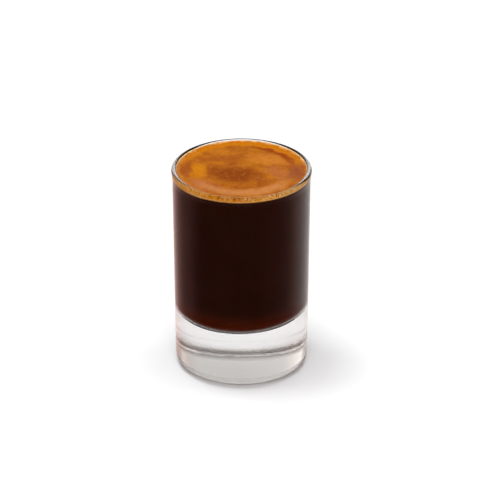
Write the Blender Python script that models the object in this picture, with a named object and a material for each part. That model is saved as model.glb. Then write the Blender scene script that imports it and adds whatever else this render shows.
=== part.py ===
"""A double espresso in a straight, heavy-based shot glass, filled to the brim.

Three closed solids, all turned about +Z: the glass, the coffee in its cavity and
the layer of crema on top. Metres, +Z up, the origin at the centre of the foot.
"""

import math

import bmesh
import bpy

# Outside of the glass
HEIGHT = 0.0700
RIM_DIAMETER = 0.0460
FOOT_DIAMETER = 0.0435
HEEL_WIDTH = 0.0045
HEEL_HEIGHT = 0.0036
BEAD_BULGE = 0.0003
BEAD_HEIGHT = 0.0042
RIM_ROUND = 0.00088

# Underside: a flat ring that the glass stands on, round a shallow dished punt
PUNT_RADIUS = 0.0155
PUNT_DEPTH = 0.0004

# Cavity: its floor is a little out of level, lower on the -X side
RIM_WALL = 0.0018
FLOOR_HEIGHT = 0.0177
FLOOR_RADIUS = 0.01995
CORNER_RADIUS = 0.0070
FLOOR_SLANT = 0.025
SLANT_FADE = 0.012

# Contents, each standing clear of its neighbours by a small gap. The crema climbs onto
# the inside of the rounded rim, to CREMA_TOP below its crest, and is a little deeper on
# the -X side.
GAP = 0.0003
CREMA_TOP = 0.00025
CREMA_DEPTH = 0.0018
CREMA_TILT = 0.015
MENISCUS_RISE = 0.0005
MENISCUS_WIDTH = 0.0022

# Turning
SEGMENTS = 96
ARC_STEPS = 7
SAME_POINT = 1e-7


def arc(centre_r, centre_z, radius, start, end, steps=ARC_STEPS):
    """Points (r, z) along an arc, its angles in degrees from the +r direction."""
    angles = (math.radians(start + (end - start) * i / steps) for i in range(steps + 1))
    return [(centre_r + radius * math.cos(a), centre_z + radius * math.sin(a)) for a in angles]


def ease(t):
    """A smooth step from 0 to 1."""
    t = min(max(t, 0.0), 1.0)
    return t * t * (3.0 - 2.0 * t)


def outer_radius(z):
    """The outside of the glass between its heel and its rounded rim."""
    foot = FOOT_DIAMETER / 2
    neck = RIM_DIAMETER / 2 - BEAD_BULGE
    taper = foot + (neck - foot) * (z - HEEL_HEIGHT) / (HEIGHT - HEEL_HEIGHT)
    bead_start = HEIGHT - BEAD_HEIGHT
    return taper + BEAD_BULGE * ease((z - bead_start) / (BEAD_HEIGHT - RIM_ROUND))


def cavity_radius(z):
    """The wall of the cavity above its rounded corner, opening out inside the rounded rim."""
    mouth = RIM_DIAMETER / 2 - RIM_WALL
    corner_top = FLOOR_HEIGHT + CORNER_RADIUS
    wall = FLOOR_RADIUS + (mouth - FLOOR_RADIUS) * (z - corner_top) / (HEIGHT - corner_top)
    into_rim = min(max(z - HEIGHT + RIM_ROUND, 0.0), RIM_ROUND)
    return wall + RIM_ROUND - math.sqrt(RIM_ROUND**2 - into_rim**2)


def slanted(x, z):
    """Height of a cavity point once the floor is tilted; the tilt dies out up the wall."""
    fade = 1.0 - ease((z - FLOOR_HEIGHT - CORNER_RADIUS) / SLANT_FADE)
    return z + FLOOR_SLANT * x * fade


def crema_tilted(x, z):
    """Height of a point on the level between coffee and crema once that level is tilted."""
    return z + CREMA_TILT * x


def punt_profile():
    """The dished underside, from the axis out to the ring that the glass stands on."""
    steps = 6
    return [
        (PUNT_RADIUS * i / steps, PUNT_DEPTH * (1.0 - ease(i / steps)))
        for i in range(steps + 1)
    ]


def outer_profile():
    """Heel, tapered wall and bead, up to where the rim starts to turn in."""
    foot = FOOT_DIAMETER / 2
    flat = foot - HEEL_WIDTH
    heel = [
        (flat + HEEL_WIDTH * c, HEEL_HEIGHT * (1.0 + s)) for c, s in arc(0.0, 0.0, 1.0, -90, 0)
    ]
    wall_heights = [HEIGHT * share for share in (0.25, 0.5, 0.75)]
    bead_steps = 5
    bead_span = BEAD_HEIGHT - RIM_ROUND
    bead_heights = [
        HEIGHT - BEAD_HEIGHT + bead_span * i / bead_steps for i in range(bead_steps)
    ]
    return heel + [(outer_radius(z), z) for z in wall_heights + bead_heights]


def rim_profile():
    """The rounded rim, a half turn from the outside to the inside of the wall."""
    outside = RIM_DIAMETER / 2
    inside = outside - RIM_WALL
    top = HEIGHT - RIM_ROUND
    outer_turn = arc(outside - RIM_ROUND, top, RIM_ROUND, 0, 90, 4)
    inner_turn = arc(inside + RIM_ROUND, top, RIM_ROUND, 90, 180, 4)
    return outer_turn + inner_turn


def cavity_profile(inset, top):
    """Wall, corner and floor of the cavity, drawn in by inset, from height top downwards."""
    corner_top = FLOOR_HEIGHT + CORNER_RADIUS
    centre_r = FLOOR_RADIUS - CORNER_RADIUS
    heights = [top + (corner_top - top) * i / 5 for i in range(5)]
    wall = [(cavity_radius(z) - inset, z) for z in heights]
    corner = arc(centre_r, corner_top, CORNER_RADIUS - inset, 0, -90)
    floor = [(centre_r / 2, FLOOR_HEIGHT + inset), (0.0, FLOOR_HEIGHT + inset)]
    return wall + corner + floor


def crema_surface(r, edge):
    """Height of the crema's top at radius r: level, with a meniscus that climbs the wall."""
    climb = max(0.0, 1.0 - (edge - r) / MENISCUS_WIDTH)
    return HEIGHT - CREMA_TOP - MENISCUS_RISE + MENISCUS_RISE * climb * climb


def crema_profile():
    """The crema's top from the axis outwards, its side and its underside."""
    level = HEIGHT - CREMA_TOP
    edge = cavity_radius(level) - GAP
    flat = edge - MENISCUS_WIDTH
    radii = [0.0, flat / 3, 2 * flat / 3, flat]
    radii += [flat + MENISCUS_WIDTH * share for share in (0.3, 0.55, 0.75, 0.9, 1.0)]
    top = [(r, crema_surface(r, edge)) for r in radii]
    base = level - CREMA_DEPTH
    foot = cavity_radius(base) - GAP
    rim_heights = [HEIGHT - RIM_ROUND * share for share in (0.5, 0.75, 1.0)]
    side = [(cavity_radius(z) - GAP, z) for z in rim_heights]
    return top + side + [(foot, base), (foot / 2, base), (0.0, base)]


def coffee_profile():
    """The coffee: its top under the crema, then the cavity's own wall, corner and floor."""
    top = HEIGHT - CREMA_TOP - CREMA_DEPTH - GAP
    body = cavity_profile(GAP, top)
    return [(0.0, top), (body[0][0] / 2, top)] + body


def turned(name, profile, material, slant=None):
    """Turns a profile of (r, z) points about +Z into one closed, smooth-shaded object."""
    mesh = bpy.data.meshes.new(name)
    work = bmesh.new()
    points = [work.verts.new((r, 0.0, z)) for r, z in profile]
    edges = [work.edges.new(pair) for pair in zip(points, points[1:])]
    bmesh.ops.spin(
        work,
        geom=points + edges,
        cent=(0.0, 0.0, 0.0),
        axis=(0.0, 0.0, 1.0),
        angle=math.tau,
        steps=SEGMENTS,
        use_merge=True,
    )
    bmesh.ops.remove_doubles(work, verts=work.verts, dist=SAME_POINT)
    if slant:
        for vert in work.verts:
            vert.co.z = slant(vert.co)
    bmesh.ops.recalc_face_normals(work, faces=work.faces)
    work.to_mesh(mesh)
    work.free()
    mesh.shade_smooth()
    mesh.set_sharp_from_angle(angle=math.radians(40))
    mesh.materials.append(material)
    obj = bpy.data.objects.new(name, mesh)
    bpy.context.scene.collection.objects.link(obj)
    return obj


def in_cavity(co):
    """True for a point of the glass that lies on its cavity and not on its outside."""
    wall_middle = (outer_radius(co.z) + cavity_radius(co.z)) / 2
    above_base = co.z > FLOOR_HEIGHT / 2
    return above_base and math.hypot(co.x, co.y) < wall_middle


def glass_slant(co):
    """The slant for the glass, which tilts its cavity and leaves its outside alone."""
    return slanted(co.x, co.z) if in_cavity(co) else co.z


def coffee_slant(co):
    """The slants for the coffee: its foot follows the cavity, its top the crema."""
    top = HEIGHT - CREMA_TOP - CREMA_DEPTH - GAP
    if co.z > top - SAME_POINT:
        return crema_tilted(co.x, co.z)
    return slanted(co.x, co.z)


def crema_slant(co):
    """The slant for the crema, which tilts its underside and leaves its top level."""
    underside = HEIGHT - CREMA_TOP - CREMA_DEPTH
    return crema_tilted(co.x, co.z) if co.z < underside + SAME_POINT else co.z


def finish(name, colour, roughness, transmission=0.0, ior=1.45):
    """A Principled material with the colour in linear RGB."""
    material = bpy.data.materials.new(name)
    material.use_nodes = True
    shader = material.node_tree.nodes["Principled BSDF"]
    shader.inputs["Base Color"].default_value = (*colour, 1.0)
    shader.inputs["Roughness"].default_value = roughness
    shader.inputs["Metallic"].default_value = 0.0
    shader.inputs["Transmission Weight"].default_value = transmission
    shader.inputs["IOR"].default_value = ior
    return material


def main():
    """Clears the scene and builds the glass, the coffee and the crema."""
    for obj in list(bpy.data.objects):
        bpy.data.objects.remove(obj)

    clear_glass = finish("clear_glass", (0.96, 0.97, 0.97), 0.02, 1.0, 1.52)
    black_coffee = finish("black_coffee", (0.016, 0.005, 0.002), 0.08, 0.0, 1.34)
    golden_crema = finish("golden_crema", (0.48, 0.16, 0.025), 0.35, 0.0, 1.40)

    glass_profile = punt_profile() + outer_profile() + rim_profile()
    glass_profile += cavity_profile(0.0, HEIGHT - 2 * RIM_ROUND)
    turned("glass", glass_profile, clear_glass, glass_slant)
    turned("coffee", coffee_profile(), black_coffee, coffee_slant)
    turned("crema", crema_profile(), golden_crema, crema_slant)


main()
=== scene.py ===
"""Looks of a double espresso in a straight, heavy-based shot glass.

The frame holds three solids: the glass, the coffee and the crema. Each is replaced
here by a smooth piece of the same form, and the drink reaches just into the wall of
the glass, so that no air shows between the two. Everything is in metres, +Z up, with
the origin at the centre of the foot.
"""

import logging
import math
import random
from collections.abc import Callable, Iterable
from dataclasses import dataclass, field
from enum import Enum

import bpy
import numpy as np
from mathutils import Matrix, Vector, noise


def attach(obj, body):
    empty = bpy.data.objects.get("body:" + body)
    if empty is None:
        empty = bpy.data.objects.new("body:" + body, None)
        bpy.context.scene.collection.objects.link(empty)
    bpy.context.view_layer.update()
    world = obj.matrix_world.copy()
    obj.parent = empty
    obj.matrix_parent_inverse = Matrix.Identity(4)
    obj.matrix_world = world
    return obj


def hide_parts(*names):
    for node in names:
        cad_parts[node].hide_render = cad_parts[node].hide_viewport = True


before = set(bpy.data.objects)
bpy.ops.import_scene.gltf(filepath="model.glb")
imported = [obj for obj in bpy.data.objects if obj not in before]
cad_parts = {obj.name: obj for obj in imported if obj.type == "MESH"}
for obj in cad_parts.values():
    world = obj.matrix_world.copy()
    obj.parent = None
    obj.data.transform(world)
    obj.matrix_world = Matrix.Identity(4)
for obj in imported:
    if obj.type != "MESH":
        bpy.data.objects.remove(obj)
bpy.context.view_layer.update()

MM = 0.001
BODY = "root"
LIGHT_BOUNCES = 48
GLASS_IOR = 1.5
COFFEE_IOR = 1.34
FOAM_IOR = 1.36
log = logging.getLogger("double_espresso")

Point = tuple[float, float]
Colour = tuple[float, float, float, float]
Warp = Callable[[float, float, float], float]
Tones = tuple[tuple[float, str], ...]
Tree = bpy.types.NodeTree
Node = bpy.types.Node
Socket = bpy.types.NodeSocket
Material = bpy.types.Material
Piece = bpy.types.Object

# Node settings that many nodes share
SMOOTH = {"interpolation_type": "SMOOTHSTEP"}
RGBA = {"data_type": "RGBA"}
MULTIPLY = {"operation": "MULTIPLY"}


def linear(hex_colour: str) -> Colour:
    """Turns an sRGB colour into the linear values that shaders take.

    Args:
        hex_colour: The colour as "#rrggbb".

    Returns:
        Linear red, green and blue, with an alpha of 1.
    """
    channels = [int(hex_colour[i : i + 2], 16) / 255 for i in (1, 3, 5)]
    values = [c / 12.92 if c <= 0.04045 else ((c + 0.055) / 1.055) ** 2.4 for c in channels]
    return (values[0], values[1], values[2], 1.0)


def per_metre(size_mm: float) -> float:
    """The texture scale whose pattern repeats about every size_mm millimetres."""
    return 1000.0 / size_mm


def ease(t: float) -> float:
    """A smooth step from 0 to 1."""
    t = min(max(t, 0.0), 1.0)
    return t * t * (3.0 - 2.0 * t)


def arc(centre: Point, radius: float, start: float, end: float, steps: int) -> list[Point]:
    """Points along an arc of a profile.

    Args:
        centre: The arc's centre, as (r, z).
        radius: The arc's radius.
        start: The first angle, in degrees from the +r direction.
        end: The last angle, in degrees.
        steps: How many chords the arc is cut into.

    Returns:
        The points (r, z), both ends included.
    """
    angles = (math.radians(start + (end - start) * i / steps) for i in range(steps + 1))
    return [(centre[0] + radius * math.cos(a), centre[1] + radius * math.sin(a)) for a in angles]


def add_node(
    tree: Tree,
    kind: str,
    settings: dict[str, object] | None = None,
    inputs: dict[str | int, object] | None = None,
) -> Node:
    """Adds one node, sets its properties, and sets or links its inputs.

    Args:
        tree: The node tree that takes the node.
        kind: The node's type without its "ShaderNode", such as "Math".
        settings: Property names and their values.
        inputs: Input names or numbers, each with a value, or with the socket or the node
            whose first output feeds it.

    Returns:
        The new node.
    """
    node = tree.nodes.new(f"ShaderNode{kind}")
    for name, value in (settings or {}).items():
        setattr(node, name, value)
    for name, value in (inputs or {}).items():
        if isinstance(value, Node):
            value = value.outputs[0]
        if isinstance(value, Socket):
            tree.links.new(value, node.inputs[name])
        else:
            node.inputs[name].default_value = value
    return node


def set_ramp(node: Node, stops: Iterable[tuple[float, Colour]]) -> None:
    """Gives a colour ramp its stops.

    Args:
        node: The colour ramp.
        stops: Positions from 0 to 1 with linear colours, in rising order.
    """
    elements = node.color_ramp.elements
    while len(elements) > 1:
        elements.remove(elements[-1])
    for i, (position, colour) in enumerate(stops):
        element = elements[0] if i == 0 else elements.new(position)
        element.position = position
        element.color = colour


def off_axis(tree: Tree, place: Socket) -> tuple[Socket, Socket]:
    """Measures how far positions lie from the Z axis.

    Args:
        tree: The material's tree.
        place: The positions.

    Returns:
        The positions laid flat on z = 0, and their distance from the axis.
    """
    flat = add_node(tree, "VectorMath", MULTIPLY, {0: place, 1: (1.0, 1.0, 0.0)})
    length = add_node(tree, "VectorMath", {"operation": "LENGTH"}, {0: flat})
    return flat.outputs[0], length.outputs["Value"]


def new_material(name: str) -> tuple[Material, Tree, Node]:
    """Makes a node material.

    Args:
        name: The material's name.

    Returns:
        The material, its tree and its Principled shader.
    """
    material = bpy.data.materials.new(name)
    material.use_nodes = True
    tree = material.node_tree
    return material, tree, tree.nodes["Principled BSDF"]


def wet_against_glass(
    tree: Tree, shader: Node, colour: Socket, film: Socket, film_colour: str
) -> None:
    """Gives a drink the gloss that it has where it wets the glass.

    Light that runs along inside the glass meets the drink at a slant. Coffee bends light
    less than glass does, so beyond a certain slant the boundary between them mirrors
    fully, and nearer to head on it hardly mirrors at all. Where a thin film of foam
    clings to the wall, a slanting look sees the film and not the mirror.

    Args:
        tree: The material's tree.
        shader: Its Principled shader.
        colour: The drink's own colour.
        film: How much foam clings to the wall, 0 to 1.
        film_colour: Its sRGB colour.
    """
    fresnel = add_node(tree, "Fresnel", inputs={"IOR": COFFEE_IOR / GLASS_IOR})
    slant = add_node(tree, "MapRange", inputs={"Value": fresnel, "From Min": 0.02, "From Max": 1.0})
    slanting = add_node(
        tree, "Mix", RGBA, {"Factor": film, "A": (1.0, 1.0, 1.0, 1.0), "B": linear(film_colour)}
    )
    seen = add_node(
        tree, "Mix", RGBA, {"Factor": slant, "A": colour, "B": slanting.outputs["Result"]}
    )
    bare = add_node(tree, "Math", {"operation": "SUBTRACT"}, {0: 1.0, 1: film})
    mirror = add_node(tree, "Math", MULTIPLY, {0: slant, 1: bare})
    tree.links.new(seen.outputs["Result"], shader.inputs["Base Color"])
    tree.links.new(mirror.outputs[0], shader.inputs["Metallic"])


def add_mesh(name: str, points: list, faces: list, material: Material) -> Piece:
    """Makes a smooth-shaded mesh object.

    Args:
        name: The object's name.
        points: Corner positions in metres.
        faces: Faces as tuples of corner numbers.
        material: The finish of every face.

    Returns:
        The object, linked into the scene.
    """
    mesh = bpy.data.meshes.new(name)
    mesh.from_pydata(points, [], faces)
    mesh.validate()
    mesh.materials.append(material)
    mesh.shade_smooth()
    obj = bpy.data.objects.new(name, mesh)
    bpy.context.scene.collection.objects.link(obj)
    return obj


def turn(
    name: str, profile: list[Point], segments: int, material: Material, warp: Warp | None = None
) -> Piece:
    """Turns a profile about +Z into a closed piece.

    The profile starts and ends on the axis, and runs with the solid on its left.

    Args:
        name: The object's name.
        profile: Points (r, z), the first and the last with r = 0.
        segments: How many steps make the full turn.
        material: The finish.
        warp: Gives a point's height from its x, y and z, where the piece isn't quite round.

    Returns:
        The object.
    """
    angles = np.linspace(0, math.tau, segments, endpoint=False)
    spokes = [(math.cos(a), math.sin(a)) for a in angles]
    rings = profile[1:-1]
    points = [(0.0, 0.0, profile[0][1]), (0.0, 0.0, profile[-1][1])]
    points += [(r * c, r * s, z) for r, z in rings for c, s in spokes]
    if warp:
        points = [(x, y, warp(x, y, z)) for x, y, z in points]
    faces = []
    last_ring = 2 + (len(rings) - 1) * segments
    for j in range(segments):
        k = (j + 1) % segments
        faces.append((0, 2 + k, 2 + j))
        faces.append((1, last_ring + j, last_ring + k))
        for i in range(len(rings) - 1):
            low = 2 + i * segments
            high = low + segments
            faces.append((low + j, low + k, high + k, high + j))
    return add_mesh(name, points, faces, material)


# Finishes


@dataclass(frozen=True)
class PressedSodaLimeGlass:
    """Clear soda-lime glass, pressed in a mould and fire-polished.

    Fire polishing leaves a mirror-smooth skin with a faint, wide ripple, and the glass
    has almost no tint until it is as thick as the base. Seen head on it mirrors little
    and towards its edges a lot. The heel keeps the satin skin of the mould, so it blurs
    what shows through it into a soft grey band.
    """

    tint: str = "#f7f6f5"
    ior: float = GLASS_IOR
    head_on_mirror: float = 0.02
    ripple_mm: float = 14.0
    ripple_depth: float = 0.004
    heel_satin: float = 0.5
    heel_fade: float = 0.5 * MM
    heel_margin: float = 0.4 * MM
    ripple_strength: float = 0.3

    def make(self, heel_top: float, flat_radius: float) -> Material:
        """Makes the material.

        Args:
            heel_top: Height at which the heel meets the wall.
            flat_radius: Radius at which the heel meets the flat foot.

        Returns:
            The material.
        """
        material, tree, shader = new_material("pressed_soda_lime_glass")
        place = add_node(tree, "TexCoord")
        satin = self._satin(tree, place.outputs["Object"], heel_top, flat_radius)
        tree.links.new(satin, shader.inputs["Roughness"])
        ripple = add_node(
            tree,
            "TexNoise",
            inputs={
                "Vector": place.outputs["Object"],
                "Scale": per_metre(self.ripple_mm),
                "Detail": 1.0,
            },
        )
        bump = add_node(
            tree,
            "Bump",
            inputs={
                "Height": ripple.outputs["Fac"],
                "Strength": self.ripple_strength,
                "Distance": self.ripple_depth * MM,
            },
        )
        shader.inputs["Base Color"].default_value = linear(self.tint)
        shader.inputs["IOR"].default_value = self.ior
        shader.inputs["Transmission Weight"].default_value = 1.0
        mirror = self.head_on_mirror
        shader.inputs["Specular Tint"].default_value = (mirror, mirror, mirror, 1.0)
        tree.links.new(bump.outputs["Normal"], shader.inputs["Normal"])
        return material

    def _satin(self, tree: Tree, place: Socket, heel_top: float, flat_radius: float) -> Socket:
        """The roughness: none but on the curve of the heel.

        Args:
            tree: The material's tree.
            place: The positions.
            heel_top: Height at which the heel meets the wall.
            flat_radius: Radius at which the heel meets the flat foot.

        Returns:
            The roughness.
        """
        fade_from = heel_top + self.heel_margin
        axes = add_node(tree, "SeparateXYZ", inputs={0: place})
        low = add_node(
            tree,
            "MapRange",
            SMOOTH,
            {
                "Value": axes.outputs["Z"],
                "From Min": fade_from,
                "From Max": fade_from - self.heel_fade,
            },
        )
        _, radius = off_axis(tree, place)
        out = add_node(
            tree,
            "MapRange",
            SMOOTH,
            {
                "Value": radius,
                "From Min": flat_radius,
                "From Max": flat_radius + self.heel_fade,
                "To Max": self.heel_satin,
            },
        )
        satin = add_node(tree, "Math", MULTIPLY, {0: low, 1: out})
        return satin.outputs[0]


@dataclass(frozen=True)
class BrewedCoffee:
    """Espresso under its crema: near black in depth, red-brown where light gets through.

    Light from the base of the glass passes only the thin wedge of coffee at the rounded
    corner of the cavity, so the lowest few millimetres glow red-brown. That glow is painted
    light: a red-brown colour laid into the coffee by height. Right under the crema there is
    a thin brown haze, and a film of foam clings to the wall there.
    """

    deep: str = "#1f0600"
    shade: str = "#2a0803"
    # painted glow: red-brown that stands for light getting through the thin coffee low down
    glow: str = "#521c08"
    haze: str = "#46200c"
    glow_top: float = 14.0 * MM
    haze_depth: float = 0.5 * MM
    film: str = "#b98a5e"
    film_depth: float = 2.2 * MM
    drift_mm: float = 9.0
    roughness: float = 0.03
    sheen: float = 0.05

    def make(self, floor: float, surface: float) -> Material:
        """Makes the material.

        Args:
            floor: Height of the cavity's floor.
            surface: Height of the coffee's surface under the crema.

        Returns:
            The material.
        """
        material, tree, shader = new_material("brewed_coffee")
        place = add_node(tree, "TexCoord")
        drift = add_node(
            tree,
            "TexNoise",
            inputs={
                "Vector": place.outputs["Object"],
                "Scale": per_metre(self.drift_mm),
                "Detail": 2.0,
            },
        )
        body = add_node(
            tree,
            "Mix",
            RGBA,
            {"Factor": drift.outputs["Fac"], "A": linear(self.deep), "B": linear(self.shade)},
        )
        axes = add_node(tree, "SeparateXYZ", inputs={0: place.outputs["Object"]})
        # mask of the painted glow, full at the cavity's floor and fading upwards
        low = add_node(
            tree,
            "MapRange",
            {"interpolation_type": "SMOOTHERSTEP"},
            {"Value": axes.outputs["Z"], "From Min": floor + self.glow_top, "From Max": floor},
        )
        glow = add_node(tree, "Math", {"operation": "POWER"}, {0: low, 1: 2.0})
        lit = add_node(
            tree, "Mix", RGBA, {"Factor": glow, "A": body.outputs["Result"], "B": linear(self.glow)}
        )
        high = add_node(
            tree,
            "MapRange",
            SMOOTH,
            {
                "Value": axes.outputs["Z"],
                "From Min": surface - self.haze_depth,
                "From Max": surface,
            },
        )
        topped = add_node(
            tree, "Mix", RGBA, {"Factor": high, "A": lit.outputs["Result"], "B": linear(self.haze)}
        )
        film = add_node(
            tree,
            "MapRange",
            SMOOTH,
            {
                "Value": axes.outputs["Z"],
                "From Min": surface - self.film_depth,
                "From Max": surface - 0.2 * self.film_depth,
            },
        )
        wet_against_glass(tree, shader, topped.outputs["Result"], film.outputs[0], self.film)
        shader.inputs["Roughness"].default_value = self.roughness
        shader.inputs["IOR"].default_value = COFFEE_IOR
        shader.inputs["Specular IOR Level"].default_value = self.sheen
        return material


@dataclass(frozen=True)
class Patch:
    """One soft-edged patch of tone on the crema.

    Attributes:
        name: What the patch is.
        centre: Its middle, as (x, y) in millimetres from the axis.
        reach: Its half sizes along its own two axes, in millimetres.
        turned: How far its first axis is turned from +X, in degrees.
        colour: Its sRGB colour.
        strength: How much it covers what lies under it, 0 to 1.
    """

    name: str
    centre: Point
    reach: Point
    turned: float
    colour: str
    strength: float


@dataclass(frozen=True)
class Band:
    """A curved band of tone that follows the wall of the glass.

    Attributes:
        name: What the band is.
        radius: Radius of its middle line, in millimetres.
        width: Half its width, in millimetres.
        facing: The direction of its middle, in degrees from +X towards +Y.
        spread: How far it reaches either way from there, in degrees.
        colour: Its sRGB colour.
        strength: How much it covers what lies under it, 0 to 1.
        clean: Whether it follows the wall cleanly instead of straying with the clouds.
    """

    name: str
    radius: float
    width: float
    facing: float
    spread: float
    colour: str
    strength: float
    clean: bool = False


@dataclass(frozen=True)
class CremaFoam:
    """Crema: oily coffee foam of very fine bubbles, poured by the machine's two spouts.

    Fine foam scatters light, so it is matt to satin and golden, and browner where the
    bubbles have thinned and the coffee shows through. Its tones run into one another in
    clouds a few millimetres across, with a grain of single bubbles on top. Some bands along
    the wall are painted light: a painted glow and a painted highlight at the back, and a
    painted sheen at the front and on the left.
    """

    light: str = "#ba7112"
    dark: str = "#93490a"
    cell_wall: str = "#6a3003"
    pale: str = "#c98c48"
    cloud_mm: float = 5.0
    wisp_mm: float = 1.7
    grain_mm: float = 0.42
    stray_mm: float = 3.2
    stray_reach: float = 3.0 * MM
    side_cell_mm: float = 0.75
    side_mottle_mm: float = 0.42
    side_patch_mm: float = 8.0
    side_cream: str = "#ffcd84"
    side_speck: str = "#843c00"
    roughness: float = 0.5
    sheen: float = 0.04
    side: Tones = (
        (0.0, "#b87434"),
        (0.10, "#e8a860"),
        (0.24, "#ea9a2a"),
        (0.42, "#dc8a10"),
        (0.60, "#c06a00"),
        (0.74, "#8c4200"),
        (0.86, "#b06820"),
        (1.0, "#dc9850"),
    )
    patches: tuple[Patch, ...] = (
        Patch("thin foam in the middle", (-2.4, -3.4), (11.5, 8.0), -4.0, "#7a3400", 0.88),
        Patch("russet swirl at the back left", (-6.5, 8.5), (11.0, 2.8), 10.0, "#944a10", 0.7),
        Patch("russet cloud at the front left", (-12.0, -11.5), (8.0, 4.5), -38.0, "#a0522c", 0.7),
        Patch("golden streak", (-14.0, -0.5), (3.0, 7.5), 6.0, "#c27602", 0.9),
        Patch("caramel cloud at the back", (9.5, 8.0), (9.0, 5.0), -20.0, "#bf7426", 0.75),
        Patch("russet cloud on the left", (-18.2, 1.0), (2.6, 8.0), 0.0, "#8c4316", 0.7),
        Patch("russet cloud on the right", (17.8, -2.0), (3.6, 8.0), 0.0, "#8a4628", 0.85),
        Patch("caramel cloud on the right", (12.0, -2.0), (4.0, 7.0), 20.0, "#ad6534", 0.6),
    )
    bands: tuple[Band, ...] = (
        # painted glow: amber for light that comes through the thin foam at the back
        Band("painted glow at the back", 19.4, 2.0, 95.0, 85.0, "#c07000", 0.95),
        # painted glow: the brightest light through the foam, at the very edge at the back
        Band("painted bright glow at the back edge", 21.5, 0.9, 90.0, 115.0, "#e4a45a", 0.9),
        Band("russet arc at the back right", 17.4, 1.6, 46.0, 40.0, "#8a3400", 0.85),
        # painted sheen on the front of the crema, where it rises to the wall
        Band("painted caramel sheen at the front", 16.8, 3.2, 270.0, 76.0, "#bd7c46", 0.8),
        # painted sheen on the left edge of the crema
        Band("painted amber sheen at the left", 20.4, 0.8, 190.0, 60.0, "#c27a30", 0.6),
        # painted highlight: the cream that the lip shows at the back, laid on the crema's outermost
        # ring
        Band("painted cream highlight on the lip at the back", 21.5, 0.5, 90.0, 120.0, "#f0d2a0", 0.85, True),
        Band("brown film on the lip in front", 21.5, 0.5, 270.0, 110.0, "#a06c44", 0.85, True),
    )

    def make(self, top: float, underside: float) -> Material:
        """Makes the material.

        Args:
            top: Height at which the crema meets the wall.
            underside: Height of the crema's underside at the wall.

        Returns:
            The material.
        """
        material, tree, shader = new_material("crema_foam")
        place = add_node(tree, "TexCoord").outputs["Object"]
        strayed = self._strayed(tree, place)
        colour = self._clouds(tree, place)
        for patch in self.patches:
            colour = self._with_patch(tree, strayed, colour, patch)
        for band in self.bands:
            colour = self._with_band(tree, place if band.clean else strayed, colour, band)
        grain = add_node(
            tree,
            "TexVoronoi",
            {"feature": "DISTANCE_TO_EDGE"},
            {"Vector": place, "Scale": per_metre(self.grain_mm)},
        )
        colour = self._grained(tree, place, colour, grain)
        colour = self._sided(tree, place, colour, top, underside)
        bump = add_node(
            tree,
            "Bump",
            inputs={"Height": grain.outputs["Distance"], "Strength": 0.35, "Distance": 0.06 * MM},
        )
        tree.links.new(colour, shader.inputs["Base Color"])
        tree.links.new(bump.outputs["Normal"], shader.inputs["Normal"])
        shader.inputs["Roughness"].default_value = self.roughness
        shader.inputs["IOR"].default_value = FOAM_IOR
        shader.inputs["Specular IOR Level"].default_value = self.sheen
        return material

    def _strayed(self, tree: Tree, place: Socket) -> Socket:
        """Positions pushed about by a slow noise, so that patches get ragged edges.

        Args:
            tree: The material's tree.
            place: The true positions.

        Returns:
            The pushed positions, in metres.
        """
        swirl = add_node(
            tree,
            "TexNoise",
            inputs={
                "Vector": place,
                "Scale": per_metre(self.stray_mm),
                "Detail": 3.0,
                "Roughness": 0.6,
            },
        )
        centred = add_node(
            tree,
            "VectorMath",
            {"operation": "SUBTRACT"},
            {0: swirl.outputs["Color"], 1: (0.5, 0.5, 0.5)},
        )
        pushed = add_node(
            tree,
            "VectorMath",
            {"operation": "MULTIPLY_ADD"},
            {0: centred, 1: (self.stray_reach, self.stray_reach, 0.0), 2: place},
        )
        return pushed.outputs[0]

    def _clouds(self, tree: Tree, place: Socket) -> Socket:
        """The mottled ground tone of the foam.

        Args:
            tree: The material's tree.
            place: The positions.

        Returns:
            The colour.
        """
        cloud = add_node(
            tree,
            "TexNoise",
            inputs={
                "Vector": place,
                "Scale": per_metre(self.cloud_mm),
                "Detail": 5.0,
                "Roughness": 0.62,
                "Distortion": 0.6,
            },
        )
        spread = add_node(
            tree,
            "MapRange",
            SMOOTH,
            {"Value": cloud.outputs["Fac"], "From Min": 0.28, "From Max": 0.72},
        )
        ground = add_node(
            tree, "Mix", RGBA, {"Factor": spread, "A": linear(self.dark), "B": linear(self.light)}
        )
        return ground.outputs["Result"]

    def _covered(
        self, tree: Tree, mask: Socket, under: Socket, colour: str, strength: float
    ) -> Socket:
        """Lays one colour over another where a mask says so.

        Args:
            tree: The material's tree.
            mask: How much of the colour shows, before strength.
            under: The colour so far.
            colour: The sRGB colour laid over it.
            strength: The most that it covers.

        Returns:
            The new colour.
        """
        amount = add_node(tree, "Math", MULTIPLY, {0: mask, 1: strength})
        mixed = add_node(tree, "Mix", RGBA, {"Factor": amount, "A": under, "B": linear(colour)})
        return mixed.outputs["Result"]

    def _with_patch(self, tree: Tree, strayed: Socket, under: Socket, patch: Patch) -> Socket:
        """Adds one patch.

        Args:
            tree: The material's tree.
            strayed: The pushed positions.
            under: The colour so far.
            patch: The patch.

        Returns:
            The new colour.
        """
        moved = add_node(
            tree,
            "Mapping",
            {"vector_type": "TEXTURE"},
            {
                "Vector": strayed,
                "Location": (patch.centre[0] * MM, patch.centre[1] * MM, 0.0),
                "Rotation": (0.0, 0.0, math.radians(patch.turned)),
                "Scale": (patch.reach[0] * MM, patch.reach[1] * MM, 1.0),
            },
        )
        _, distance = off_axis(tree, moved.outputs[0])
        mask = add_node(
            tree, "MapRange", SMOOTH, {"Value": distance, "From Min": 1.15, "From Max": 0.35}
        )
        return self._covered(tree, mask.outputs[0], under, patch.colour, patch.strength)

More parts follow.
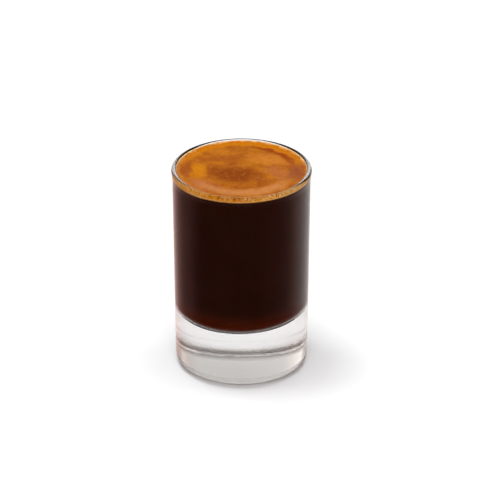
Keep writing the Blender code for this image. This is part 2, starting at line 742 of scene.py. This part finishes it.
    def _with_band(self, tree: Tree, place: Socket, under: Socket, band: Band) -> Socket:
        """Adds one band along the wall.

        Args:
            tree: The material's tree.
            place: The positions, true or pushed.
            under: The colour so far.
            band: The band.

        Returns:
            The new colour.
        """
        flat, radius = off_axis(tree, place)
        unit = add_node(tree, "VectorMath", {"operation": "NORMALIZE"}, {0: flat})
        facing = math.radians(band.facing)
        turn_to = add_node(
            tree,
            "VectorMath",
            {"operation": "DOT_PRODUCT"},
            {0: unit, 1: (math.cos(facing), math.sin(facing), 0.0)},
        )
        off_line = add_node(
            tree, "Math", {"operation": "SUBTRACT"}, {0: radius, 1: band.radius * MM}
        )
        off = add_node(tree, "Math", {"operation": "ABSOLUTE"}, {0: off_line})
        across = add_node(
            tree,
            "MapRange",
            SMOOTH,
            {"Value": off, "From Min": band.width * MM, "From Max": 0.2 * band.width * MM},
        )
        along = add_node(
            tree,
            "MapRange",
            SMOOTH,
            {
                "Value": turn_to.outputs["Value"],
                "From Min": math.cos(math.radians(band.spread)),
                "From Max": math.cos(math.radians(0.45 * band.spread)),
            },
        )
        mask = add_node(tree, "Math", MULTIPLY, {0: across, 1: along})
        return self._covered(tree, mask.outputs[0], under, band.colour, band.strength)

    def _grained(self, tree: Tree, place: Socket, under: Socket, grain: Node) -> Socket:
        """Adds the grain of single bubbles and finer wisps of thin foam.

        Real cells are down to 0.1 mm, which is under a third of a pixel, so the grain is
        drawn coarser than that.

        Args:
            tree: The material's tree.
            place: The positions.
            under: The colour so far.
            grain: The texture whose distance runs to the walls between bubbles.

        Returns:
            The new colour.
        """
        wisp = add_node(
            tree,
            "TexNoise",
            inputs={
                "Vector": place,
                "Scale": per_metre(self.wisp_mm),
                "Detail": 4.0,
                "Roughness": 0.7,
            },
        )
        thin = add_node(
            tree,
            "MapRange",
            inputs={
                "Value": wisp.outputs["Fac"],
                "From Min": 0.56,
                "From Max": 0.74,
                "To Max": 0.3,
            },
        )
        wisped = self._covered(tree, thin.outputs[0], under, self.cell_wall, 1.0)
        bright = add_node(
            tree,
            "MapRange",
            inputs={
                "Value": wisp.outputs["Fac"],
                "From Min": 0.46,
                "From Max": 0.28,
                "To Max": 0.25,
            },
        )
        wisped = self._covered(tree, bright.outputs[0], wisped, self.pale, 1.0)
        wall = add_node(
            tree,
            "MapRange",
            inputs={
                "Value": grain.outputs["Distance"],
                "From Min": 0.16,
                "From Max": 0.0,
                "To Max": 0.42,
            },
        )
        return self._covered(tree, wall.outputs[0], wisped, self.cell_wall, 1.0)

    def _sided(
        self, tree: Tree, place: Socket, under: Socket, top: float, underside: float
    ) -> Socket:
        """Colours the side that shows through the wall of the glass.

        From the contact down the tones run from pale over a dark line to amber, with a pale
        line just over the coffee; height alone sets them. Flat blotches of cream and dark
        specks break them up, with more of the cream towards +X. Real ones are finer than a pixel
        and are drawn coarser. The direction of the face tells the side from the top.

        Args:
            tree: The material's tree.
            place: The positions.
            under: The colour of the top.
            top: Height at which the crema meets the wall.
            underside: Height of the underside at the wall.

        Returns:
            The colour of top and side.
        """
        cells = add_node(
            tree,
            "TexVoronoi",
            {"feature": "SMOOTH_F1"},
            {"Vector": place, "Scale": per_metre(self.side_cell_mm), "Smoothness": 0.3},
        )
        centred = add_node(
            tree,
            "Math",
            {"operation": "MULTIPLY_ADD"},
            {0: cells.outputs["Distance"], 1: 0.9 * MM, 2: -0.35 * MM},
        )
        axes = add_node(tree, "SeparateXYZ", inputs={0: place})
        height = add_node(tree, "Math", {"operation": "ADD"}, {0: axes.outputs["Z"], 1: centred})
        level = add_node(
            tree, "MapRange", inputs={"Value": height, "From Min": underside, "From Max": top}
        )
        amber = add_node(tree, "ValToRGB", inputs={"Fac": level})
        set_ramp(amber, [(share, linear(tone)) for share, tone in self.side])
        squeezed = add_node(tree, "VectorMath", MULTIPLY, {0: place, 1: (1.0, 1.0, 4.0)})
        fresh = add_node(
            tree,
            "TexNoise",
            inputs={
                "Vector": squeezed,
                "Scale": per_metre(self.side_mottle_mm),
                "Detail": 2.0,
                "Roughness": 0.6,
            },
        )
        patchy = add_node(
            tree,
            "TexNoise",
            inputs={"Vector": place, "Scale": per_metre(self.side_patch_mm), "Detail": 1.0},
        )
        # the side turns paler towards +X: more cream blotches to the right
        paler_to_the_right = add_node(
            tree,
            "MapRange",
            inputs={
                "Value": axes.outputs["X"],
                "From Min": -4.0 * MM,
                "From Max": 16.0 * MM,
                "To Max": 0.10,
            },
        )
        summed = add_node(tree, "Math", {"operation": "ADD"}, {0: fresh.outputs["Fac"], 1: paler_to_the_right})
        uneven = add_node(
            tree,
            "Math",
            {"operation": "MULTIPLY_ADD"},
            {0: patchy.outputs["Fac"], 1: 0.5, 2: summed},
        )
        pale = add_node(
            tree,
            "MapRange",
            inputs={"Value": uneven, "From Min": 0.76, "From Max": 0.96, "To Max": 0.85},
        )
        side = self._covered(tree, pale.outputs[0], amber.outputs["Color"], self.side_cream, 1.0)
        specks = add_node(
            tree,
            "TexNoise",
            {"noise_dimensions": "4D"},
            {"Vector": squeezed, "W": 3.0, "Scale": per_metre(self.side_mottle_mm), "Detail": 1.0},
        )
        dark = add_node(
            tree,
            "MapRange",
            inputs={
                "Value": specks.outputs["Fac"],
                "From Min": 0.42,
                "From Max": 0.34,
                "To Max": 0.65,
            },
        )
        side = self._covered(tree, dark.outputs[0], side, self.side_speck, 1.0)
        facing = add_node(tree, "NewGeometry")
        upward = add_node(tree, "SeparateXYZ", inputs={0: facing.outputs["True Normal"]})
        at_wall = add_node(
            tree,
            "MapRange",
            inputs={"Value": upward.outputs["Z"], "From Min": 0.5, "From Max": 0.3},
        )
        mixed = add_node(tree, "Mix", RGBA, {"Factor": at_wall, "A": under, "B": side})
        return mixed.outputs["Result"]


@dataclass(frozen=True)
class BubbleFilm:
    """The film of a single crema bubble: thin oily coffee, blown by steam.

    The bubbles are too small for a sharp light on each, so the film is drawn satin. Its
    colour runs from straw where it is thin to brown where it is thick.
    """

    thin: str = "#c48940"
    thick: str = "#8a480e"
    blotch_mm: float = 1.1
    roughness: float = 0.5

    def make(self) -> Material:
        """Makes the material."""
        material, tree, shader = new_material("bubble_film")
        place = add_node(tree, "TexCoord")
        which = add_node(
            tree,
            "TexNoise",
            inputs={
                "Vector": place.outputs["Object"],
                "Scale": per_metre(self.blotch_mm),
                "Detail": 1.0,
            },
        )
        spread = add_node(
            tree,
            "MapRange",
            inputs={"Value": which.outputs["Fac"], "From Min": 0.35, "From Max": 0.62},
        )
        colour = add_node(
            tree, "Mix", RGBA, {"Factor": spread, "A": linear(self.thin), "B": linear(self.thick)}
        )
        tree.links.new(colour.outputs["Result"], shader.inputs["Base Color"])
        shader.inputs["Roughness"].default_value = self.roughness
        shader.inputs["IOR"].default_value = FOAM_IOR
        return material


@dataclass(frozen=True)
class WhitePaperSweep:
    """Matt white background paper under the glass: smooth, uncoated and without gloss."""

    shade: str = "#f3f4f6"
    fibre_mm: float = 1.5

    def make(self) -> Material:
        """Makes the material."""
        material, tree, shader = new_material("white_paper_sweep")
        place = add_node(tree, "TexCoord")
        fibre = add_node(
            tree,
            "TexNoise",
            inputs={
                "Vector": place.outputs["Object"],
                "Scale": per_metre(self.fibre_mm),
                "Detail": 2.0,
            },
        )
        bump = add_node(
            tree,
            "Bump",
            inputs={"Height": fibre.outputs["Fac"], "Strength": 0.05, "Distance": 0.02 * MM},
        )
        shader.inputs["Base Color"].default_value = linear(self.shade)
        shader.inputs["Roughness"].default_value = 1.0
        shader.inputs["Specular IOR Level"].default_value = 0.0
        tree.links.new(bump.outputs["Normal"], shader.inputs["Normal"])
        return material


# Pieces


@dataclass
class ShotGlass:
    """The glass: a tapered wall with a beaded rim over a thick, clear base.

    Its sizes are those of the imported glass, in metres.
    """

    height: float = 70.0 * MM
    rim_radius: float = 23.0 * MM
    foot_radius: float = 21.75 * MM
    heel_width: float = 4.5 * MM
    heel_height: float = 3.6 * MM
    bead_bulge: float = 0.3 * MM
    bead_height: float = 4.2 * MM
    rim_round: float = 0.88 * MM
    rim_wall: float = 1.8 * MM
    punt_radius: float = 15.5 * MM
    punt_depth: float = 0.4 * MM
    floor_height: float = 17.7 * MM
    floor_radius: float = 19.95 * MM
    corner_radius: float = 7.0 * MM
    floor_slant: float = 0.025
    slant_fade: float = 12.0 * MM
    segments: int = 288
    finish: PressedSodaLimeGlass = field(default_factory=PressedSodaLimeGlass)

    def outer_at(self, z: float) -> float:
        """Radius of the outside between the heel and the rounded rim."""
        neck = self.rim_radius - self.bead_bulge
        share = (z - self.heel_height) / (self.height - self.heel_height)
        bead = (z - self.height + self.bead_height) / (self.bead_height - self.rim_round)
        return self.foot_radius + (neck - self.foot_radius) * share + self.bead_bulge * ease(bead)

    def cavity_at(self, z: float) -> float:
        """Radius of the cavity above its corner, the inside of the rounded rim included."""
        mouth = self.rim_radius - self.rim_wall
        corner_top = self.floor_height + self.corner_radius
        share = (z - corner_top) / (self.height - corner_top)
        wall = self.floor_radius + (mouth - self.floor_radius) * share
        above = z - (self.height - self.rim_round)
        if above <= 0:
            return wall
        opening = self.rim_round - math.sqrt(max(self.rim_round**2 - above**2, 0.0))
        return wall + opening

    def slanted(self, x: float, y: float, z: float) -> float:
        """Height of a point of the cavity, whose floor is a little out of level.

        Args:
            x: The point's x.
            y: The point's y, which the slant doesn't depend on.
            z: Its height in a level cavity.

        Returns:
            Its height in the slanted one.
        """
        fade = 1.0 - ease((z - self.floor_height - self.corner_radius) / self.slant_fade)
        return z + self.floor_slant * x * fade

    def cavity_profile(self, outset: float, top: float, steps: int = 24) -> list[Point]:
        """Wall, corner and floor of the cavity from a height downwards to the axis.

        Args:
            outset: How far the profile lies inside the glass, measured from the cavity.
            top: Height of the first point.
            steps: How many points make the wall.

        Returns:
            The points (r, z).
        """
        corner_top = self.floor_height + self.corner_radius
        centre = (self.floor_radius - self.corner_radius, corner_top)
        heights = [top + (corner_top - top) * i / steps for i in range(steps)]
        wall = [(self.cavity_at(z) + outset, z) for z in heights]
        corner = arc(centre, self.corner_radius + outset, 0, -90, 24)
        low = self.floor_height - outset
        floor = [(centre[0] * share, low) for share in (0.75, 0.5, 0.25, 0.0)]
        return wall + corner + floor

    def _slanted_inside(self, x: float, y: float, z: float) -> float:
        """Slants the cavity and leaves the outside of the glass alone.

        Args:
            x: The point's x.
            y: The point's y.
            z: The point's height.

        Returns:
            The height in the finished glass.
        """
        middle = (self.outer_at(z) + self.cavity_at(z)) / 2
        inside = z > self.floor_height - self.heel_height and math.hypot(x, y) < middle
        return self.slanted(x, y, z) if inside else z

    def build(self) -> list[Piece]:
        """Turns the glass from one closed profile.

        Returns:
            The glass.
        """
        flat_radius = self.foot_radius - self.heel_width
        heel = [
            (flat_radius + self.heel_width * c, self.heel_height * (1.0 + s))
            for c, s in arc((0.0, 0.0), 1.0, -90, 0, 28)
        ]
        punt_steps = 14
        punt = [
            (self.punt_radius * i / punt_steps, self.punt_depth * (1.0 - ease(i / punt_steps)))
            for i in range(punt_steps + 1)
        ]
        bead_foot = self.height - self.bead_height
        wall_steps = 20
        wall = [
            self.heel_height + (bead_foot - self.heel_height) * i / wall_steps
            for i in range(1, wall_steps)
        ]
        bead_steps = 16
        bead_span = self.bead_height - self.rim_round
        bead = [bead_foot + bead_span * i / bead_steps for i in range(bead_steps)]
        lip_height = self.height - self.rim_round
        inside = self.rim_radius - self.rim_wall
        profile = punt + heel
        profile += [(self.outer_at(z), z) for z in wall + bead]
        profile += arc((self.rim_radius - self.rim_round, lip_height), self.rim_round, 0, 90, 12)
        profile += arc((inside + self.rim_round, lip_height), self.rim_round, 90, 180, 12)
        profile += self.cavity_profile(0.0, lip_height - self.rim_round)
        material = self.finish.make(self.heel_height, flat_radius)
        glass = turn("glass_body", profile, self.segments, material, self._slanted_inside)
        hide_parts("glass")
        return [glass]


@dataclass
class Drink:
    """The levels of the drink, which the coffee and the crema share, in metres.

    Attributes:
        crema_top: Depth below the rim at which the crema meets the wall.
        crema_depth: How far the crema's side reaches below that.
        crema_tilt: Slope of the crema's underside, which is lower towards -X.
        crema_sag: How much deeper the crema is at the left and right than in front.
        meniscus_rise: How far the crema climbs the wall.
        meniscus_width: How wide the climbing edge is.
        into_wall: How far the drink reaches into the glass.
    """

    glass: ShotGlass
    crema_top: float = 0.25 * MM
    crema_depth: float = 1.8 * MM
    crema_tilt: float = 0.015
    crema_sag: float = 0.3 * MM
    meniscus_rise: float = 0.5 * MM
    meniscus_width: float = 2.2 * MM
    into_wall: float = 0.04 * MM

    @property
    def contact(self) -> float:
        """Height at which the crema meets the wall."""
        return self.glass.height - self.crema_top

    @property
    def underside(self) -> float:
        """Height of the crema's underside on the axis."""
        return self.contact - self.crema_depth

    @property
    def edge(self) -> float:
        """Radius of the crema's edge where it meets the wall."""
        return self.glass.cavity_at(self.contact)

    def under_at(self, x: float) -> float:
        """How far the crema's underside departs from its height on the axis."""
        return self.crema_tilt * x - self.crema_sag * (x / self.edge) ** 2

    def level_at(self, r: float) -> float:
        """Height of the crema's top at a radius, before any relief."""
        climb = max(0.0, 1.0 - (self.edge - r) / self.meniscus_width)
        return self.contact - self.meniscus_rise + self.meniscus_rise * climb * climb


@dataclass
class CoffeeBody:
    """The coffee, from the cavity's floor up to the crema."""

    drink: Drink
    segments: int = 240
    finish: BrewedCoffee = field(default_factory=BrewedCoffee)

    def build(self) -> list[Piece]:
        """Turns the coffee from the cavity's own profile.

        Returns:
            The coffee.
        """
        drink = self.drink
        glass = drink.glass
        top = drink.underside + drink.into_wall
        body = glass.cavity_profile(drink.into_wall, top)
        profile = [(r, z) for r, z in reversed(body)]
        profile += [(profile[-1][0] * share, top) for share in (0.75, 0.5, 0.25, 0.0)]

        def warp(x: float, y: float, z: float) -> float:
            """Tilts the top with the crema and the foot with the cavity."""
            if z > top - drink.into_wall:
                return z + drink.under_at(x)
            return glass.slanted(x, y, z)

        material = self.finish.make(glass.floor_height, drink.underside)
        coffee = turn("coffee_body", profile, self.segments, material, warp)
        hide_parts("coffee")
        return [coffee]


@dataclass
class CremaLayer:
    """The crema: a layer of fine foam with a slightly uneven top that climbs the wall."""

    drink: Drink
    segments: int = 300
    rings: int = 96
    swell_mm: float = 0.07
    pit_mm: float = 0.028
    finish: CremaFoam = field(default_factory=CremaFoam)

    def relief_at(self, x: float, y: float) -> float:
        """Height of the foam's own relief, which dies out at the wall.

        Args:
            x: The point's x.
            y: The point's y.

        Returns:
            The height over the level surface, in metres.
        """
        swell = noise.noise(Vector((x * per_metre(7.0), y * per_metre(7.0), 3.1)))
        pits = noise.noise(Vector((x * per_metre(0.9), y * per_metre(0.9), 7.7)))
        calm = ease((self.drink.edge - math.hypot(x, y)) / (1.0 * MM))
        return (self.swell_mm * swell + self.pit_mm * pits) * MM * calm

    def surface_at(self, x: float, y: float) -> float:
        """Height of the crema's top at a point."""
        return self.drink.level_at(math.hypot(x, y)) + self.relief_at(x, y)

    def build(self) -> list[Piece]:
        """Turns the layer and lays the relief on its top.

        Returns:
            The crema.
        """
        drink = self.drink
        glass = drink.glass
        side_steps = 10
        foot = glass.cavity_at(drink.underside) + drink.into_wall
        profile = [(foot * i / 6, drink.underside) for i in range(7)]
        for i in range(1, side_steps):
            z = drink.underside + drink.crema_depth * i / side_steps
            profile.append((glass.cavity_at(z) + drink.into_wall, z))
        edge = drink.edge + drink.into_wall
        top = [edge * (1.0 - (i / self.rings) ** 1.25) for i in range(self.rings + 1)]
        profile += [(r, drink.level_at(min(r, drink.edge))) for r in top]
        side_top = drink.contact - 2 * drink.meniscus_rise

        def warp(x: float, y: float, z: float) -> float:
            """Tilts the underside and lays the relief on the top."""
            if z < drink.underside + drink.into_wall:
                return z + drink.under_at(x)
            if z > side_top and abs(z - drink.level_at(math.hypot(x, y))) < drink.into_wall:
                return z + self.relief_at(x, y)
            return z

        material = self.finish.make(drink.contact, drink.underside)
        crema = turn("crema_foam_layer", profile, self.segments, material, warp)
        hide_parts("crema")
        return [crema]


class BubblePlace(Enum):
    """Where a group of bubbles sits on the crema."""

    WALL_RING = "wall_ring"
    OPEN_TOP = "open_top"


@dataclass
class BubbleGroup:
    """Single bubbles that stand out of the fine foam, all in one mesh.

    Attributes:
        layer: The crema that carries them.
        where: Whether they line the wall or lie on the open top.
        count: How many there are.
        smallest: Radius of the smallest, in metres.
        largest: Radius of the largest, in metres.
        seed: Seed of the random draw.
    """

    layer: CremaLayer
    where: BubblePlace
    count: int
    smallest: float
    largest: float
    seed: int
    around: int = 8
    finish: BubbleFilm = field(default_factory=BubbleFilm)

    def _spot(self, draw: random.Random, radius: float) -> Point:
        """Draws one bubble's place.

        Args:
            draw: The seeded draw.
            radius: The bubble's radius.

        Returns:
            Its middle, as (x, y).
        """
        edge = self.layer.drink.edge - radius
        if self.where is BubblePlace.WALL_RING:
            out = edge - abs(draw.gauss(0.0, 0.45 * MM))
        else:
            out = (edge - 1.0 * MM) * math.sqrt(draw.random())
        angle = draw.uniform(0.0, math.tau)
        return (out * math.cos(angle), out * math.sin(angle))

    def _dome(self, x: float, y: float, radius: float) -> tuple[list, list]:
        """One bubble: the part of a small ball that stands out of the foam.

        Args:
            x: The bubble's x.
            y: The bubble's y.
            radius: Its radius.

        Returns:
            Its points and its faces, numbered from 0.
        """
        base = self.layer.surface_at(x, y)
        sunk = 0.45 * radius
        levels = (-40, -5, 30, 62)
        points = []
        for degrees in levels:
            a = math.radians(degrees)
            for j in range(self.around):
                b = math.tau * j / self.around
                points.append(
                    (
                        x + radius * math.cos(a) * math.cos(b),
                        y + radius * math.cos(a) * math.sin(b),
                        base - sunk + radius * math.sin(a) + 0.3 * radius,
                    )
                )
        faces = []
        for i in range(len(levels) - 1):
            for j in range(self.around):
                k = (j + 1) % self.around
                low = i * self.around
                faces.append((low + j, low + k, low + self.around + k, low + self.around + j))
        points.append((x, y, base - sunk + 1.3 * radius))
        points.append((x, y, base - sunk - 0.5 * radius))
        crown = (len(levels) - 1) * self.around
        for j in range(self.around):
            k = (j + 1) % self.around
            faces.append((crown + j, crown + k, len(points) - 2))
            faces.append((k, j, len(points) - 1))
        return points, faces

    def build(self) -> list[Piece]:
        """Makes the group as one joined mesh.

        Returns:
            The bubbles.
        """
        draw = random.Random(self.seed)
        points: list = []
        faces: list = []
        top = self.layer.drink.glass.height
        for _ in range(self.count):
            radius = self.smallest + (self.largest - self.smallest) * draw.random() ** 2.5
            x, y = self._spot(draw, radius)
            dome, sides = self._dome(x, y, radius)
            if max(p[2] for p in dome) > top:
                continue
            start = len(points)
            points += dome
            faces += [tuple(start + i for i in side) for side in sides]
        bubbles = add_mesh(f"bubbles_{self.where.value}", points, faces, self.finish.make())
        return [bubbles]


# Studio


@dataclass
class SoftBox:
    """A soft studio light.

    Attributes:
        name: The light's name.
        place: Where it stands, in metres.
        size: Its width and height, in metres.
        watts: Its power.
        colour: Its sRGB colour.
    """

    name: str
    place: tuple[float, float, float]
    size: Point
    watts: float
    colour: str = "#ffffff"

    def build(self, aim: Vector) -> None:
        """Makes the light and turns it to a point.

        Args:
            aim: The point it faces.
        """
        data = bpy.data.lights.new(self.name, "AREA")
        data.shape = "RECTANGLE"
        data.size, data.size_y = self.size
        data.energy = self.watts
        data.color = linear(self.colour)[:3]
        light = bpy.data.objects.new(self.name, data)
        light.location = self.place
        light.rotation_mode = "QUATERNION"
        light.rotation_quaternion = (Vector(self.place) - aim).to_track_quat("Z", "Y")
        light.visible_camera = False
        bpy.context.scene.collection.objects.link(light)


@dataclass
class Studio:
    """A white paper floor, a pale room and three soft lights: left, right and in front.

    Attributes:
        floor_reach: How far the paper goes either way.
        floor_gap: How far it lies under the foot of the glass.
        walls: The room all round, by degrees from straight behind, + to the right.
        heights: What the walls are multiplied by, by the sine of the height.
        bounce: The light that the floor throws on upright walls, from front to back.
        bounce_lean: How much more of it comes from the right.
        straight_below: The floor's own light, which shows only in looks from above.
        steep: Where that light starts and where it is full, as a direction's z.
        horizon: Where the bounce ends and the room starts, as a direction's z.
        room_strength: How bright the room is.
    """

    floor_reach: float = 3.0
    floor_gap: float = 0.05 * MM
    walls: Tones = (
        (-180.0, "#fff9f6"),
        (-122.0, "#fff9f6"),
        (-108.0, "#807a76"),
        (-72.0, "#807a76"),
        (-60.0, "#f4efec"),
        (-46.0, "#ded9d5"),
        (-30.0, "#c8c5c3"),
        (0.0, "#bebcba"),
        (30.0, "#c0bebb"),
        (46.0, "#b9b3af"),
        (58.0, "#cfc7c1"),
        (68.0, "#807a76"),
        (108.0, "#807a76"),
        (122.0, "#faf5f2"),
        (180.0, "#fff9f6"),
    )
    heights: Tones = (
        (0.0, "#e6e6e6"),
        (0.22, "#e2e2e2"),
        (0.32, "#cacaca"),
        (0.46, "#c6c6c6"),
        (0.62, "#c4c4c4"),
        (0.74, "#585858"),
        (1.0, "#484848"),
    )
    bounce: Tones = (
        (-0.70, "#100806"),
        (-0.34, "#92605c"),
        (0.05, "#8a615b"),
        (0.40, "#a27b74"),
        (0.60, "#b9958b"),
        (0.86, "#afa29e"),
        (1.0, "#b0a9a6"),
    )
    bounce_lean: float = 0.45
    straight_below: str = "#aaa6a3"
    steep: Point = (-0.55, -0.85)
    horizon: Point = (-0.03, 0.0)
    room_strength: float = 2.1
    floor_finish: WhitePaperSweep = field(default_factory=WhitePaperSweep)
    lights: tuple[SoftBox, ...] = (
        SoftBox("left_box", (-0.22, 0.06, 1.0), (0.34, 0.34), 4.9),
        SoftBox("right_box", (0.22, 0.06, 1.0), (0.34, 0.34), 2.8),
        SoftBox("front_box", (0.0, -0.75, 0.85), (0.5, 0.5), 3.5),
    )

    def build(self) -> None:
        """Makes the floor, the room's light and the soft boxes."""
        reach = self.floor_reach
        low = -self.floor_gap
        signs = ((-1, -1), (1, -1), (1, 1), (-1, 1))
        corners = [(across * reach, back * reach, low) for across, back in signs]
        floor = add_mesh("paper_floor", corners, [(0, 1, 2, 3)], self.floor_finish.make())
        floor.visible_glossy = False
        self._room()
        for light in self.lights:
            light.build(Vector((0.0, 0.0, 0.03)))

    def _room(self) -> None:
        """Lights the room by wall and height, and the half below the horizon by the bounce."""
        world = bpy.data.worlds.new("pale_room")
        world.use_nodes = True
        tree = world.node_tree
        place = add_node(tree, "TexCoord")
        axes = add_node(tree, "SeparateXYZ", inputs={0: place.outputs["Generated"]})
        turn_to = add_node(
            tree, "Math", {"operation": "ARCTAN2"}, {0: axes.outputs["X"], 1: axes.outputs["Y"]}
        )
        facing = add_node(
            tree, "MapRange", inputs={"Value": turn_to, "From Min": -math.pi, "From Max": math.pi}
        )
        walls = add_node(tree, "ValToRGB", inputs={"Fac": facing})
        set_ramp(walls, [(0.5 + degrees / 360, linear(shade)) for degrees, shade in self.walls])
        heights = add_node(tree, "ValToRGB", inputs={"Fac": axes.outputs["Z"]})
        set_ramp(heights, [(height, linear(shade)) for height, shade in self.heights])
        room = add_node(
            tree,
            "Mix",
            {"data_type": "RGBA", "blend_type": "MULTIPLY"},
            {"Factor": 1.0, "A": walls.outputs["Color"], "B": heights.outputs["Color"]},
        )
        behind = add_node(
            tree,
            "Math",
            {"operation": "MULTIPLY_ADD"},
            {0: axes.outputs["X"], 1: self.bounce_lean, 2: axes.outputs["Y"]},
        )
        share = add_node(
            tree, "MapRange", inputs={"Value": behind, "From Min": -1.0, "From Max": 1.0}
        )
        bounce = add_node(tree, "ValToRGB", inputs={"Fac": share})
        set_ramp(bounce, [((1.0 + lean) / 2, linear(shade)) for lean, shade in self.bounce])
        steep = add_node(
            tree,
            "MapRange",
            inputs={
                "Value": axes.outputs["Z"],
                "From Min": self.steep[0],
                "From Max": self.steep[1],
            },
        )
        below = add_node(
            tree,
            "Mix",
            RGBA,
            {"Factor": steep, "A": bounce.outputs["Color"], "B": linear(self.straight_below)},
        )
        above = add_node(
            tree,
            "MapRange",
            inputs={
                "Value": axes.outputs["Z"],
                "From Min": self.horizon[0],
                "From Max": self.horizon[1],
            },
        )
        both = add_node(
            tree,
            "Mix",
            RGBA,
            {"Factor": above, "A": below.outputs["Result"], "B": room.outputs["Result"]},
        )
        shade = tree.nodes["Background"]
        tree.links.new(both.outputs["Result"], shade.inputs["Color"])
        shade.inputs["Strength"].default_value = self.room_strength
        bpy.context.scene.world = world


@dataclass
class Viewpoint:
    """The camera: a long lens from the front, looking down at the glass.

    Attributes:
        elevation: How far it looks down, in degrees.
        distance: From the middle of the glass, in metres.
        pixels_per_metre: The picture's scale at the middle of the glass.
        frame_pixels: The picture's width.
        middle_at: Where the middle of the glass lands, in pixels from the top left.
    """

    elevation: float = 26.9
    distance: float = 1.762
    pixels_per_metre: float = 3036.0
    frame_pixels: float = 480.0
    middle_at: Point = (241.5, 263.5)

    def build(self, middle: Vector) -> None:
        """Makes the camera and points it so that the glass lands where it should.

        Args:
            middle: The middle of the glass.
        """
        down = math.radians(self.elevation)
        ahead = Vector((0.0, math.cos(down), -math.sin(down)))
        above = Vector((0.0, math.sin(down), math.cos(down)))
        beside = Vector((1.0, 0.0, 0.0))
        place = middle - ahead * self.distance
        centre = self.frame_pixels / 2
        aside = (centre - self.middle_at[0]) / self.pixels_per_metre
        upward = (self.middle_at[1] - centre) / self.pixels_per_metre
        aim = middle + beside * aside + above * upward
        data = bpy.data.cameras.new("studio_camera")
        data.sensor_width = 36.0
        data.lens = self.pixels_per_metre * self.distance / self.frame_pixels * data.sensor_width
        data.clip_end = 20.0
        camera = bpy.data.objects.new("studio_camera", data)
        camera.location = place
        camera.rotation_mode = "QUATERNION"
        camera.rotation_quaternion = (aim - place).to_track_quat("-Z", "Y")
        bpy.context.scene.collection.objects.link(camera)
        bpy.context.scene.camera = camera


def set_picture() -> None:
    """Keeps colours as they are and lets light run on inside the wall of the glass."""
    scene = bpy.context.scene
    scene.view_settings.view_transform = "Standard"
    scene.cycles.max_bounces = LIGHT_BOUNCES
    scene.cycles.glossy_bounces = LIGHT_BOUNCES
    scene.cycles.transmission_bounces = LIGHT_BOUNCES


def main() -> None:
    """Builds the glass, the drink, the bubbles, the studio and the camera."""
    logging.basicConfig(level=logging.INFO, format="%(name)s: %(message)s")
    glass = ShotGlass()
    drink = Drink(glass)
    layer = CremaLayer(drink)
    ring = BubbleGroup(layer, BubblePlace.WALL_RING, 700, 0.06 * MM, 0.20 * MM, 11)
    strewn = BubbleGroup(layer, BubblePlace.OPEN_TOP, 160, 0.06 * MM, 0.14 * MM, 23)
    for part in (glass, CoffeeBody(drink), layer, ring, strewn):
        for piece in part.build():
            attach(piece, BODY)
            log.info("%s: %d faces", piece.name, len(piece.data.polygons))
    Studio().build()
    Viewpoint().build(Vector((0.0, 0.0, glass.height / 2)))
    set_picture()


if __name__ == "__main__":
    main()
